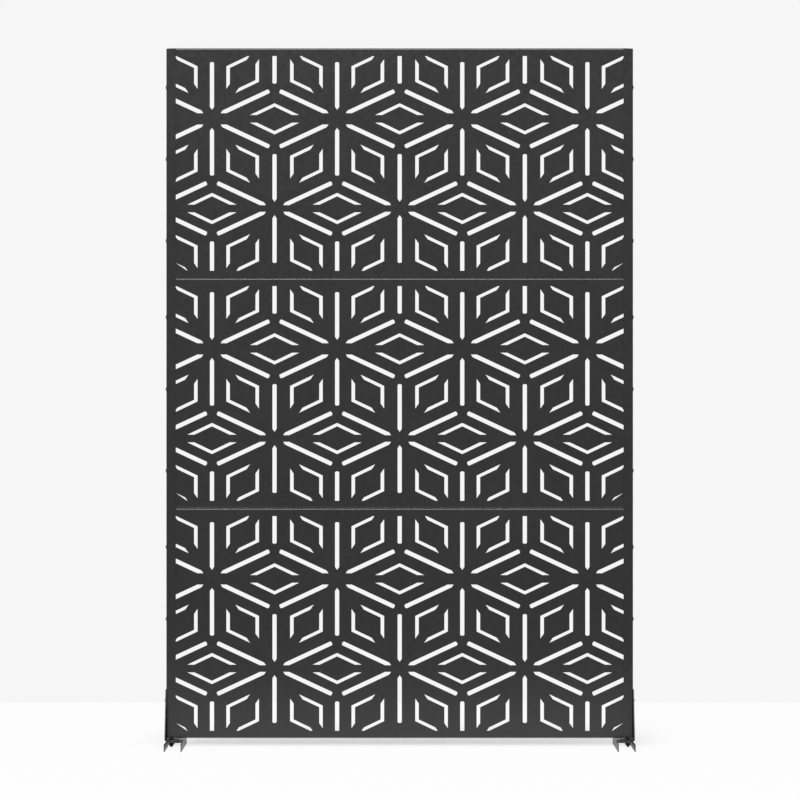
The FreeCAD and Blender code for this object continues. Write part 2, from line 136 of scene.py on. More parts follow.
def newMaterial(name):
    material = bpy.data.materials.new(name)
    material.use_nodes = True
    material.node_tree.nodes.clear()
    return material


# Polyester powder coat, sprayed dry on degreased sheet steel and baked. The grains melt into a closed skin
# that never quite levels: a faint pebble breaks up the gloss, and the tone drifts a little over a wide sheet.
coat = {
    "panel": {"deep": "#2f2f30", "pale": "#343434", "roughness": (0.17, 0.23)},
    "post": {"deep": "#2e2e2f", "pale": "#333333", "roughness": (0.17, 0.23)},
    "foot": {"deep": "#28282a", "pale": "#2e2e2e", "roughness": (0.36, 0.46)},   # thinner and drier
    "noise": {
        "drift": {"mm": 240, "detail": 3},     # slow change of tone over a sheet
        "mottle": {"mm": 9, "detail": 4},      # uneven film
        "pebble": {"mm": 2.2, "detail": 2},    # really about 0.4 mm; drawn coarser so that it shows from afar
    },
    "toneRange": (0.75, 1.25),     # drift and mottle together, from the deep tone to the pale one
    "glossRange": (0.3, 0.7),      # mottle, from the lower roughness to the higher one
    "pebbleDepth": 0.0001,
    "ior": 1.5,
    "specular": 0.55,
}


def makePowderCoat(piece):
    tones = coat[piece]
    material = newMaterial(f"PolyesterPowderCoat_{piece}")
    tree = material.node_tree
    place = addNode(tree, "ShaderNodeTexCoord").outputs["Object"]
    noise = {}
    for name, grain in coat["noise"].items():
        noise[name] = addNode(tree, "ShaderNodeTexNoise", {
            "Vector": place, "Scale": perMetre(grain["mm"]), "Detail": grain["detail"]}).outputs["Fac"]
    blend = addNode(tree, "ShaderNodeMath", {0: noise["drift"], 1: noise["mottle"]}, operation="ADD")
    low, high = coat["toneRange"]
    share = addNode(tree, "ShaderNodeMapRange", {"Value": blend, "From Min": low, "From Max": high})
    low, high = coat["glossRange"]
    least, most = tones["roughness"]
    gloss = addNode(tree, "ShaderNodeMapRange", {
        "Value": noise["mottle"], "From Min": low, "From Max": high, "To Min": least, "To Max": most})
    bump = addNode(tree, "ShaderNodeBump", {"Height": noise["pebble"], "Distance": coat["pebbleDepth"]})
    ramp = addNode(tree, "ShaderNodeValToRGB", {"Fac": share})
    ramp.color_ramp.elements[0].color = toLinear(tones["deep"])
    ramp.color_ramp.elements[1].color = toLinear(tones["pale"])
    shader = addNode(tree, "ShaderNodeBsdfPrincipled", {
        "Base Color": ramp, "Roughness": gloss, "Normal": bump,
        "IOR": coat["ior"], "Specular IOR Level": coat["specular"]})
    addNode(tree, "ShaderNodeOutputMaterial", {"Surface": shader})
    return material


# Black-oxide steel: the parts are boiled in a caustic bath and oiled. The skin is so thin that the machined
# edges stay crisp; it looks near black and satin, a little greyer where the oil has dried.
oxide = {
    "deep": "#0f0f10", "pale": "#19191a",
    "patchMm": 3, "patchDetail": 3,
    "glossRange": (0.3, 0.7),      # patches, from the lower roughness to the higher one
    "roughness": (0.32, 0.45),
    "specular": 0.4,
}


def makeBlackOxide():
    material = newMaterial("BlackOxideSteel")
    tree = material.node_tree
    place = addNode(tree, "ShaderNodeTexCoord").outputs["Object"]
    patch = addNode(tree, "ShaderNodeTexNoise", {
        "Vector": place, "Scale": perMetre(oxide["patchMm"]), "Detail": oxide["patchDetail"]}).outputs["Fac"]
    low, high = oxide["glossRange"]
    least, most = oxide["roughness"]
    satin = addNode(tree, "ShaderNodeMapRange", {
        "Value": patch, "From Min": low, "From Max": high, "To Min": least, "To Max": most})
    ramp = addNode(tree, "ShaderNodeValToRGB", {"Fac": patch})
    ramp.color_ramp.elements[0].color = toLinear(oxide["deep"])
    ramp.color_ramp.elements[1].color = toLinear(oxide["pale"])
    shader = addNode(tree, "ShaderNodeBsdfPrincipled", {
        "Base Color": ramp, "Roughness": satin, "Specular IOR Level": oxide["specular"]})
    addNode(tree, "ShaderNodeOutputMaterial", {"Surface": shader})
    return material


finishes = {piece: makePowderCoat(piece) for piece in ("panel", "post", "foot")}
blackSteel = makeBlackOxide()
print("materials made:", ", ".join(material.name for material in (*finishes.values(), blackSteel)))

# Panels: a sheet folded back on all four sides; a node tree sets the stars in rows and cuts them through the
# face. The sizes are millimetres and degrees, and heights count from a panel's lower edge.
panel = {
    "sheet": 1, "bend": 4, "bendSteps": 8,                  # the bend is the outer radius
    "relief": 6,                                            # notch at each corner
    "boltHeights": (96, 306, 491), "boltHole": 6.6, "boreSegments": 32, "boreOverrun": 1,
    "starPitch": 321.8, "rowSpacing": 230.5, "lowestRow": -51.7, "columns": 11, "rows": 4,
    "spokeWidth": 10.7, "spokeAngle": 25, "spokeShift": 3, "spokeCorner": 2.4, "starGap": 11.6,
    "uprightEndGap": 10.9, "slantedEndGap": 15.7,
    "ringOuter": 40, "ringInner": 31.5, "ringShift": 1.5, "levelRingGap": 9.9, "slantedRingGap": 12.6,
    "marginTop": 20.3, "marginBottom": 18.8, "marginSide": 20, "landWidth": 31.5, "landHeight": 22,
    "cutterReach": (-1, 2), "windowReach": (-2, 3),         # from the face, in thicknesses of the sheet
    "smallestCut": 7.5,                                     # a scrap under the square of this is left uncut
    "edge": 0.25, "edgeAngle": 50, "sharpAngle": 30,        # the coat eases every cut edge
}


def uprightSpoke(towards):
    half = panel["spokeWidth"] / 2
    corner = panel["spokeCorner"]
    slope = panel["rowSpacing"] / (panel["starPitch"] / 2)
    tip = panel["starGap"] * math.hypot(1, slope)
    end = panel["rowSpacing"] * 2 / 3 - panel["uprightEndGap"]
    right = [(half, tip + half * slope), (half, end - corner), (half - corner, end)]
    outline = [(0, tip)] + right + [(-x, z) for x, z in reversed(right)]
    return [(x, towards * z) for x, z in outline]


def slantedSpoke(across, towards):
    half = panel["spokeWidth"] / 2
    corner = panel["spokeCorner"]
    gap = panel["starGap"]
    angle = math.radians(panel["spokeAngle"])
    bandAngle = math.atan2(panel["rowSpacing"], panel["starPitch"] / 2)
    lift = half / math.cos(angle)
    rise = math.sin(bandAngle) - math.tan(angle) * math.cos(bandAngle)
    upperX = (gap + lift * math.cos(bandAngle)) / rise
    end = math.hypot(panel["starPitch"] / 2, panel["rowSpacing"] / 3) - panel["slantedEndGap"]
    bar = [(end - corner, -half), (end, corner - half), (end, half - corner), (end - corner, half)]
    outline = [(gap / math.tan(bandAngle / 2), gap), ((gap + lift) / math.tan(angle), gap)]
    outline += [(reach * math.cos(angle) - offset * math.sin(angle),
                 reach * math.sin(angle) + offset * math.cos(angle)) for reach, offset in bar]
    outline.append((upperX, upperX * math.tan(angle) + lift))
    return [(across * x, towards * z) for x, z in outline]


def brokenRing(shortHalf, longHalf, gap, middle=(0, 0)):
    # the two chevrons left of a rhombus ring when a band along its long diagonal stays solid
    unit = panel["rowSpacing"] / 3
    depth = abs(shortHalf[0] * longHalf[1] - shortHalf[1] * longHalf[0]) / math.hypot(*longHalf)
    corners = []
    for scale in (panel["ringOuter"] / unit, panel["ringInner"] / unit):
        share = gap / (depth * scale)
        ends = [tuple(scale * (share * k + way * (1 - share) * m) for k, m in zip(shortHalf, longHalf))
                for way in (1, -1)]
        corners.append(ends + [tuple(scale * k for k in shortHalf)])
    (outerEnd, outerStart, outerCorner), (innerEnd, innerStart, innerCorner) = corners
    chevron = [outerStart, outerCorner, outerEnd, innerEnd, innerCorner, innerStart]
    return [[(middle[0] + way * x, middle[1] + way * z) for x, z in chevron] for way in (1, -1)]


def starOutlines(way):
    # six spokes, and the two slanted rings below them; way is 1 where spokes shift outwards, -1 for inwards
    found = []
    for towards in (1, -1):
        spokes = [uprightSpoke(towards), slantedSpoke(1, towards), slantedSpoke(-1, towards)]
        shift = towards * way * panel["spokeShift"]
        found += [[(x, z + shift) for x, z in outline] for outline in spokes]
    step, spacing = panel["starPitch"] / 2, panel["rowSpacing"]
    for across in (1, -1):
        middle = (across * step / 2 - across * way * panel["ringShift"], -spacing / 2)
        found += brokenRing((-across * step / 2, -spacing / 6), (across * step / 2, -spacing / 2),
                            panel["slantedRingGap"], middle)
    return found


def prisms(name, outlines, start, end):
    # outlines in the face's plane, drawn out in depth from start to end
    shape = bmesh.new()
    for outline in outlines:
        front, back = ([addPoint(shape, x, depth, z) for x, z in outline] for depth in (start, end))
        shape.faces.new(front)
        shape.faces.new(back[::-1])
        for place in range(len(outline)):
            shape.faces.new((front[place - 1], back[place - 1], back[place], front[place]))
    return bpy.data.objects.new(name, closedMesh(name, shape))


def boltBores(half, middleY):
    # each bore runs from side to side, and meets only the two side flanges
    turns = [2 * math.pi * step / panel["boreSegments"] for step in range(panel["boreSegments"])]
    radius = panel["boltHole"] / 2
    reach = half + panel["boreOverrun"]
    shape = bmesh.new()
    for up in panel["boltHeights"]:
        left, right = ([addPoint(shape, side * reach, middleY + radius * math.cos(turn),
                                 up + radius * math.sin(turn)) for turn in turns] for side in (-1, 1))
        shape.faces.new(left)
        shape.faces.new(right)
        for place in range(len(turns)):
            shape.faces.new((left[place - 1], right[place - 1], right[place], left[place]))
    return bpy.data.objects.new("boltBores", closedMesh("boltBores", shape))


def foldedSheet(half, height, front, depth):
    # outer and inner skin: the flat face, and along each side, between the notches, a bend with its flange
    bend, sheet, notch = panel["bend"], panel["sheet"], panel["relief"]
    turns = [math.pi / 2 * step / panel["bendSteps"] for step in range(panel["bendSteps"] + 1)]
    left, right, upper = notch - half, half - notch, height - notch
    edges = [((left, bend), (right, bend), (0, -1), (right, notch)),
             ((half - bend, notch), (half - bend, upper), (1, 0), (right, upper)),
             ((right, height - bend), (left, height - bend), (0, 1), (left, upper)),
             ((bend - half, upper), (bend - half, notch), (-1, 0), (left, notch))]
    shape = bmesh.new()
    skins = []
    for radius in (bend, bend - sheet):
        profile = [(radius * math.sin(turn), bend - radius * math.cos(turn)) for turn in turns]
        profile.append((radius, depth))
        strips, border = [], []
        for start, end, (outX, outZ), corner in edges:
            strip = [[addPoint(shape, x + out * outX, front + deep, z + out * outZ) for x, z in (start, end)]
                     for out, deep in profile]
            strips.append(strip)
            border += strip[0] + [addPoint(shape, corner[0], front + bend - radius, corner[1])]
            for here, there in zip(strip, strip[1:]):
                shape.faces.new((here[0], here[1], there[1], there[0]))
        shape.faces.new(border)
        skins.append((strips, border + border[:1]))
    (outerStrips, outerBorder), (innerStrips, innerBorder) = skins
    rims = [(outerBorder[place:place + 3], innerBorder[place:place + 3])      # round each corner notch
            for place in range(1, len(outerBorder), 3)]
    for outer, inner in zip(outerStrips, innerStrips):
        rims += [([row[end] for row in outer], [row[end] for row in inner]) for end in (0, 1)]
        rims.append((outer[-1], inner[-1]))
    for outer, inner in rims:
        for place in range(len(outer) - 1):
            shape.faces.new((outer[place], outer[place + 1], inner[place + 1], inner[place]))
    return bpy.data.objects.new("foldedSheet", closedMesh("foldedSheet", shape))


def makePatternTree():
    tree, given = newTree("starsCutThroughSheet", {
        "Sheet": "Geometry", "Outward Star": "Object", "Inward Star": "Object", "Level Ring": "Object",
        "Window": "Object", "Bolt Bores": "Object", "Star Pitch": "Float", "Row Spacing": "Float",
        "Lowest Row": "Float", "Face Depth": "Float", "Columns": "Int", "Rows": "Int",
        "Smallest Cut": "Float", "Finish": "Material"}, "Panel")

    # a grid of places, half a pitch apart in a row: stars and level rings take turns
    columnGaps = addNode(tree, "ShaderNodeMath", {0: given["Columns"], 1: 1}, operation="SUBTRACT")
    rowGaps = addNode(tree, "ShaderNodeMath", {0: given["Rows"], 1: 1}, operation="SUBTRACT")
    pitches = addNode(tree, "ShaderNodeMath", {0: given["Star Pitch"], 1: columnGaps}, operation="MULTIPLY")
    wide = addNode(tree, "ShaderNodeMath", {0: pitches, 1: 0.5}, operation="MULTIPLY")
    tall = addNode(tree, "ShaderNodeMath", {0: given["Row Spacing"], 1: rowGaps}, operation="MULTIPLY")
    grid = addNode(tree, "GeometryNodeMeshGrid", {
        "Size X": wide, "Size Y": tall, "Vertices X": given["Columns"], "Vertices Y": given["Rows"]})
    middle = addNode(tree, "ShaderNodeMath", {0: tall, 1: 0.5, 2: given["Lowest Row"]},
                     operation="MULTIPLY_ADD")
    lift = addNode(tree, "ShaderNodeCombineXYZ", {"Y": given["Face Depth"], "Z": middle})
    places = addNode(tree, "GeometryNodeTransform", {
        "Geometry": grid, "Translation": lift, "Rotation": (math.pi / 2, 0, 0)})
    count = addNode(tree, "GeometryNodeInputIndex")
    column = addNode(tree, "FunctionNodeIntegerMath", {0: count, 1: given["Rows"]}, operation="DIVIDE_FLOOR")
    row = addNode(tree, "FunctionNodeIntegerMath", {0: count, 1: given["Rows"]}, operation="MODULO")
    both = addNode(tree, "FunctionNodeIntegerMath", {0: column, 1: row}, operation="ADD")
    ringHere = addNode(tree, "FunctionNodeIntegerMath", {0: both, 1: 2}, operation="MODULO")
    oddRow = addNode(tree, "FunctionNodeIntegerMath", {0: row, 1: 2}, operation="MODULO")
    outward = addNode(tree, "FunctionNodeBooleanMath", {0: ringHere, 1: oddRow}, operation="NOR")
    inward = addNode(tree, "FunctionNodeBooleanMath", {0: oddRow, 1: ringHere}, operation="NIMPLY")

    # one cutter on each place, trimmed by the window
    cutters = []
    for name, chosen in (("Outward Star", outward), ("Inward Star", inward), ("Level Ring", ringHere)):
        shape = addNode(tree, "GeometryNodeObjectInfo", {"Object": given[name]}).outputs["Geometry"]
        cutters.append(addNode(tree, "GeometryNodeInstanceOnPoints", {
            "Points": places, "Selection": chosen, "Instance": shape}))
    joined = addNode(tree, "GeometryNodeJoinGeometry", {"Geometry": cutters})
    whole = addNode(tree, "GeometryNodeRealizeInstances", {"Geometry": joined})
    window = addNode(tree, "GeometryNodeObjectInfo", {"Object": given["Window"]}).outputs["Geometry"]
    trimmed = addNode(tree, "GeometryNodeMeshBoolean", {"Mesh 2": [whole, window]},
                      operation="INTERSECT", solver="EXACT")

    # scraps stay uncut: the area of each loose cutter's front decides, where normals point well forwards
    island = addNode(tree, "GeometryNodeInputMeshIsland").outputs["Island Index"]
    normal = addNode(tree, "GeometryNodeInputNormal")
    facing = addNode(tree, "ShaderNodeSeparateXYZ", {0: normal}).outputs["Y"]
    front = addNode(tree, "ShaderNodeMath", {0: facing, 1: -0.5}, operation="LESS_THAN")
    face = addNode(tree, "GeometryNodeInputMeshFaceArea")
    area = addNode(tree, "ShaderNodeMath", {0: face, 1: front}, operation="MULTIPLY")
    total = addNode(tree, "GeometryNodeAccumulateField", {"Value": area, "Group ID": island}, domain="FACE")
    least = addNode(tree, "ShaderNodeMath", {0: given["Smallest Cut"], 1: 2}, operation="POWER")
    scrap = addNode(tree, "ShaderNodeMath", {0: total.outputs["Total"], 1: least}, operation="LESS_THAN")
    kept = addNode(tree, "GeometryNodeDeleteGeometry", {"Geometry": trimmed, "Selection": scrap},
                   domain="FACE")

    bores = addNode(tree, "GeometryNodeObjectInfo", {"Object": given["Bolt Bores"]}).outputs["Geometry"]
    cut = addNode(tree, "GeometryNodeMeshBoolean", {"Mesh 1": given["Sheet"], "Mesh 2": [kept, bores]},
                  operation="DIFFERENCE", solver="EXACT")
    made = addNode(tree, "GeometryNodeRealizeInstances", {"Geometry": cut})
    finished = addNode(tree, "GeometryNodeSetMaterial", {"Geometry": made, "Material": given["Finish"]})
    addNode(tree, "NodeGroupOutput", {"Panel": finished})
    return tree


def makePanels():
    low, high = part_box("panel_bottom")
    half, height = high.x / mm, (high.z - low.z) / mm
    front, depth = low.y / mm, (high.y - low.y) / mm
    right = half - panel["marginSide"]
    bottom, top = panel["marginBottom"], height - panel["marginTop"]
    landX, landZ = right - panel["landWidth"], bottom + panel["landHeight"]
    opening = [(-landX, bottom), (landX, bottom), (right, landZ), (right, top),
               (-right, top), (-right, landZ)]
    levelRing = brokenRing((0, panel["rowSpacing"] / 3), (panel["starPitch"] / 2, 0), panel["levelRingGap"])
    cutter = [reach * panel["sheet"] for reach in panel["cutterReach"]]
    window = [front + reach * panel["sheet"] for reach in panel["windowReach"]]
    chosen = {
        "Outward Star": prisms("outwardStar", starOutlines(1), *cutter),
        "Inward Star": prisms("inwardStar", starOutlines(-1), *cutter),
        "Level Ring": prisms("levelRing", levelRing, *cutter),
        "Window": prisms("window", [opening], *window),
        "Bolt Bores": boltBores(half, front + depth / 2),
        "Star Pitch": panel["starPitch"] * mm, "Row Spacing": panel["rowSpacing"] * mm,
        "Lowest Row": panel["lowestRow"] * mm, "Face Depth": front * mm,
        "Columns": panel["columns"], "Rows": panel["rows"], "Smallest Cut": panel["smallestCut"] * mm,
        "Finish": finishes["panel"],
    }
    blank = foldedSheet(half, height, front, depth)
    helpers = [blank] + [item for item in chosen.values() if isinstance(item, bpy.types.Object)]
    for item in helpers:
        bpy.context.collection.objects.link(item)
    cutEdge = (panel["edge"] * mm, math.radians(panel["edgeAngle"]))
    made = flatFaced(applyTree(blank, makePatternTree(), chosen, cutEdge), panel["sharpAngle"])
    for name in panelNames:
        mesh = made.copy()
        mesh.transform(Matrix.Translation((0, 0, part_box(f"panel_{name}")[0].z)))
        piece = bpy.data.objects.new(f"cut_panel_{name}", mesh)
        bpy.context.collection.objects.link(piece)
        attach(piece, "root")
        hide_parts(f"panel_{name}")
    for item in helpers:
        bpy.data.objects.remove(item)
    print(f"panels cut: {len(made.polygons)} faces each")


makePanels()

# Posts, feet and foot brackets: the folded shapes of the frame, with their outer cut edges eased by the coat
foldedPieces = {
    "post": ("post_left", "post_right"),
    "foot": ("foot_left", "foot_right", "foot_bracket_left", "foot_bracket_right"),
}
easing = {                                # millimetres and degrees
    "merge": 0.001, "flatAngle": 0.5,     # loose triangles become whole flat faces again
    "edge": 0.25, "edgeAngle": 50, "segments": 1, "profile": 0.5,
    "sharpAngle": 30,
}


def easeFoldedPiece(name, kind):
    shape = bmesh.new()
    shape.from_mesh(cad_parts[name].data)
    bmesh.ops.remove_doubles(shape, verts=shape.verts, dist=easing["merge"] * mm)
    flat, sharp = math.radians(easing["flatAngle"]), math.radians(easing["edgeAngle"])
    bmesh.ops.dissolve_limit(shape, angle_limit=flat, verts=shape.verts, edges=shape.edges)
    cutEdges = [edge for edge in shape.edges if edge.is_convex and edge.calc_face_angle() > sharp]
    bmesh.ops.bevel(shape, geom=cutEdges, offset=easing["edge"] * mm, offset_type="OFFSET",
                    segments=easing["segments"], profile=easing["profile"], affect="EDGES", loop_slide=False)
    mesh = bpy.data.meshes.new(f"eased_{name}")
    shape.to_mesh(mesh)
    shape.free()
    mesh.materials.append(finishes[kind])
    piece = bpy.data.objects.new(mesh.name, flatFaced(mesh, easing["sharpAngle"]))
    bpy.context.collection.objects.link(piece)
    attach(piece, "root")
    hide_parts(name)
    print(f"{piece.name}: {len(piece.data.polygons)} faces")


for kind, names in foldedPieces.items():
    for name in names:
        easeFoldedPiece(name, kind)

# M6 bolts, washers and nuts: each shape is turned once and set on its seats by one node tree. Side bolts have
# button heads and plain nuts, foot bolts have cap heads and closed nuts. Metres, from each shape's seat.
fasteners = {
    "segments": 24, "sharpAngle": 38,
    "seed": 11, "largestTurn": 2 * math.pi,       # each one is turned at random about its axis
    "button": {"radius": 0.0065, "height": 0.0026, "length": 0.016,
               "rings": (0.0029, 0.0038, 0.0047, 0.0055, 0.0061, 0.0064),
               "socketWidth": 0.004, "socketDepth": 0.0016, "socketLip": 0.0002},
    "cap": {"radius": 0.005, "height": 0.006, "length": 0.014,
            "edge": 0.0005, "knurl": 0.00012, "knurlEnd": 0.001,
            "socketWidth": 0.005, "socketDepth": 0.003, "socketLip": 0.0003},
    "shank": {"radius": 0.00298, "neck": 0.0015, "tip": 0.0007, "tipRadius": 0.0023,
              "pitch": 0.001, "thread": 0.0004, "ringsPerTurn": 4},
    "washer": {"radius": 0.006, "hole": 0.0033, "sheet": 0.0016, "edge": 0.0003},
    "nut": {"width": 0.01, "height": 0.005, "bore": 0.00302, "boreEdge": 0.0004,
            "face": 0.00475, "slope": 1.73,       # a chamfer of 30 degrees, in these rings
            "chamferRings": (0, 0.00015, 0.0003, 0.00045, 0.0006)},
    "capNut": {"height": 0.013, "dome": 0.00475, "boreDepth": 0.009, "domeTurns": (15, 30, 45, 60, 72, 82)},
    "middleDrop": 0.185,          # upper to middle side bolt
    "bracketSheet": 0.0024,
}


def hexRadius(turn, width):
    # middle to the side of a hexagon, given its width over the flats
    return width / 2 / math.cos(turn % (math.pi / 3) - math.pi / 6)


def turnedPiece(name, rings, closed=False):
    # rings of (radius, height), where a radius may depend on the turn and a height on the radius; a closed
    # piece has a hole through it, and another one gets a flat cap at both ends
    count = fasteners["segments"]
    turns = [2 * math.pi * step / count for step in range(count)]
    shape = bmesh.new()
    rows = []
    for radius, height in rings:
        reach = [radius(turn) if callable(radius) else radius for turn in turns]
        rise = [height(distance) if callable(height) else height for distance in reach]
        rows.append([shape.verts.new((distance * math.cos(turn), distance * math.sin(turn), up))
                     for distance, up, turn in zip(reach, rise, turns)])
    pairs = list(zip(rows, rows[1:])) + ([(rows[-1], rows[0])] if closed else [])
    for here, there in pairs:
        for step in range(count):
            following = (step + 1) % count
            shape.faces.new((here[step], there[step], there[following], here[following]))
    if not closed:
        for row in (rows[0], rows[-1]):
            middle = shape.verts.new((0, 0, row[0].co.z))
            for step in range(count):
                shape.faces.new((middle, row[step], row[(step + 1) % count]))
    mesh = closedMesh(name, shape)
    mesh.shade_smooth()
    mesh.set_sharp_from_angle(angle=math.radians(fasteners["sharpAngle"]))
    return mesh


def socketRings(size, top):
    # floor, wall and eased lip of a hexagon socket; top gives the head's height at a distance from its middle
    def wall(turn):
        return hexRadius(turn, size["socketWidth"])

    def lip(turn):
        return wall(turn) + size["socketLip"]

    def underLip(out):
        return top(out) - size["socketLip"]

    return [(wall, size["height"] - size["socketDepth"]), (wall, underLip), (lip, top)]


def buttonRings():
    size = fasteners["button"]
    ball = (size["radius"] ** 2 + size["height"] ** 2) / (2 * size["height"])

    def dome(out):
        return math.sqrt(ball ** 2 - out ** 2) - ball + size["height"]

    return socketRings(size, dome) + [(radius, dome) for radius in size["rings"]] + [(size["radius"], 0)]


def capRings():
    size = fasteners["cap"]
    radius, height, edge, knurlEnd = (size[key] for key in ("radius", "height", "edge", "knurlEnd"))
    ridge = 2 * math.pi / fasteners["segments"]

    def knurled(turn):
        # ridges coarser than the real 0.8 mm ones
        return radius - size["knurl"] * (round(turn / ridge) % 2)

    rings = socketRings(size, lambda out: height)
    rings += [(radius - edge, height), (radius - edge / 4, height - edge / 2), (radius, height - knurlEnd)]
    rings += [(knurled, height - knurlEnd - edge / 2), (knurled, knurlEnd)]
    return rings + [(radius, knurlEnd / 2), (radius, 0)]


def makeBolt(name, headRings, length):
    size = fasteners["shank"]

    def thread(height):
        def reach(turn):
            share = (height / size["pitch"] - turn / (2 * math.pi)) % 1
            return size["radius"] - size["thread"] * abs(2 * share - 1)
        return reach

    rings = headRings + [(size["radius"], 0), (size["radius"], -size["neck"])]
    step = size["pitch"] / size["ringsPerTurn"]
    steps = int((length - size["neck"] - size["tip"]) / step)
    heights = [-size["neck"] - step * place for place in range(1, steps + 1)]
    rings += [(thread(height), height) for height in heights] + [(size["tipRadius"], -length)]
    return turnedPiece(name, rings)


def makeWasher():
    radius, hole, sheet, edge = (fasteners["washer"][key] for key in ("radius", "hole", "sheet", "edge"))
    rings = [(hole + edge, 0), (radius - edge, 0), (radius, -edge), (radius, edge - sheet)]
    rings += [(radius - edge, -sheet), (hole + edge, -sheet), (hole, edge - sheet), (hole, -edge)]
    return turnedPiece("washerShape", rings, closed=True)


def hexagonRings(height):
    # the turned chamfer at both ends cuts the corners off the hexagon
    size = fasteners["nut"]

    def side(depth):
        return lambda turn: min(hexRadius(turn, size["width"]), size["face"] + size["slope"] * depth)

    upper = [(side(depth), -depth) for depth in size["chamferRings"]]
    return upper + [(side(depth), depth - height) for depth in reversed(size["chamferRings"])]


def makeNut():
    height, bore, edge = (fasteners["nut"][key] for key in ("height", "bore", "boreEdge"))
    rings = [(bore + edge, 0)] + hexagonRings(height)
    rings += [(bore + edge, -height), (bore, edge - height), (bore, -edge)]
    return turnedPiece("nutShape", rings, closed=True)


def makeCapNut():
    size = fasteners["capNut"]
    bore, edge = fasteners["nut"]["bore"], fasteners["nut"]["boreEdge"]
    block = size["height"] - size["dome"]
    turns = [math.radians(turn) for turn in size["domeTurns"]]
    rings = [(bore, -size["boreDepth"]), (bore, -edge), (bore + edge, 0)] + hexagonRings(block)
    rings += [(size["dome"] * math.cos(turn), -block - size["dome"] * math.sin(turn)) for turn in turns]
    return turnedPiece("capNutShape", rings)


def makeScatterTree():
    tree, given = newTree("fastenersOnSeats", {
        "Seats": "Geometry", "Fastener": "Object", "Finish": "Material", "Largest Turn": "Float",
        "Seed": "Int"}, "Fasteners")
    axis = addNode(tree, "GeometryNodeInputNamedAttribute", {"Name": "axis"}, data_type="FLOAT_VECTOR")
    upright = addNode(tree, "FunctionNodeAlignRotationToVector", {"Vector": axis.outputs["Attribute"]},
                      axis="Z")
    turn = addNode(tree, "FunctionNodeRandomValue", {3: given["Largest Turn"], "Seed": given["Seed"]},
                   data_type="FLOAT")
    spin = addNode(tree, "FunctionNodeAxisAngleToRotation", {"Axis": (0, 0, 1), "Angle": turn.outputs[1]})
    turned = addNode(tree, "FunctionNodeRotateRotation", {"Rotation": upright, "Rotate By": spin},
                     rotation_space="LOCAL")
    shape = addNode(tree, "GeometryNodeObjectInfo", {"Object": given["Fastener"]}).outputs["Geometry"]
    placed = addNode(tree, "GeometryNodeInstanceOnPoints", {
        "Points": given["Seats"], "Instance": shape, "Rotation": turned})
    whole = addNode(tree, "GeometryNodeRealizeInstances", {"Geometry": placed})
    finished = addNode(tree, "GeometryNodeSetMaterial", {"Geometry": whole, "Material": given["Finish"]})
    addNode(tree, "NodeGroupOutput", {"Fasteners": finished})
    return tree


def sideSeats(kind):
    # three to each panel and side, heads outwards
    found = []
    head = fasteners["button"]["radius"]
    for panelName in panelNames:
        for side, sign in sideSigns.items():
            low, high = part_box(f"{panelName}_{side}_bolts")
            lowest, highest = low.z + head, high.z - head
            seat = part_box(f"post_{side}" if kind == "bolts" else f"{panelName}_{side}_{kind}")
            for up in (lowest, highest - fasteners["middleDrop"], highest):
                out = max(abs(seat[0].x), abs(seat[1].x))
                if kind == "bolts" and panelName == panelNames[0] and up == lowest:
                    out += fasteners["bracketSheet"]
                found.append(((sign * out, (low.y + high.y) / 2, up), (sign, 0, 0)))
    return found


def footSeats(kind):
    # one in front of each post and one behind it, heads up
    found = []
    head = fasteners["cap"]["radius"]
    for side in sideSigns:
        low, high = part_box(f"foot_{side}_bolts")
        up = high.z - fasteners["cap"]["height"] if kind == "bolts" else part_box(f"foot_{side}_{kind}")[1].z
        for across in (low.y + head, high.y - head):
            found.append((((low.x + high.x) / 2, across, up), (0, 0, 1)))
    return found


def setFasteners(name, shape, seats, nodes):
    points = bpy.data.meshes.new(name)
    points.from_pydata([point for point, axis in seats], [], [])
    axes = points.attributes.new("axis", "FLOAT_VECTOR", "POINT")
    for place, (point, axis) in enumerate(seats):
        axes.data[place].vector = axis
    piece = bpy.data.objects.new(name, points)
    pattern = bpy.data.objects.new(shape.name, shape)
    for item in (piece, pattern):
        bpy.context.collection.objects.link(item)
    piece.data = applyTree(piece, scatterTree, {
        "Fastener": pattern, "Finish": blackSteel,
        "Largest Turn": fasteners["largestTurn"], "Seed": fasteners["seed"]})
    bpy.data.objects.remove(pattern)
    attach(piece, "root")
    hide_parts(*nodes)
    print(f"{name}: {len(seats)} set, {len(piece.data.polygons)} faces")


scatterTree = makeScatterTree()
sideGroups = [f"{panelName}_{side}" for panelName in panelNames for side in sideSigns]
footGroups = [f"foot_{side}" for side in sideSigns]
setFasteners("side_bolts", makeBolt("sideBoltShape", buttonRings(), fasteners["button"]["length"]),
             sideSeats("bolts"), [f"{group}_bolts" for group in sideGroups])
setFasteners("foot_bolts", makeBolt("footBoltShape", capRings(), fasteners["cap"]["length"]),
             footSeats("bolts"), [f"{group}_bolts" for group in footGroups])
setFasteners("washers", makeWasher(), sideSeats("washers") + footSeats("washers"),
             [f"{group}_washers" for group in sideGroups + footGroups])
setFasteners("nuts", makeNut(), sideSeats("nuts"), [f"{group}_nuts" for group in sideGroups])
setFasteners("cap_nuts", makeCapNut(), footSeats("nuts"), [f"{group}_nuts" for group in footGroups])

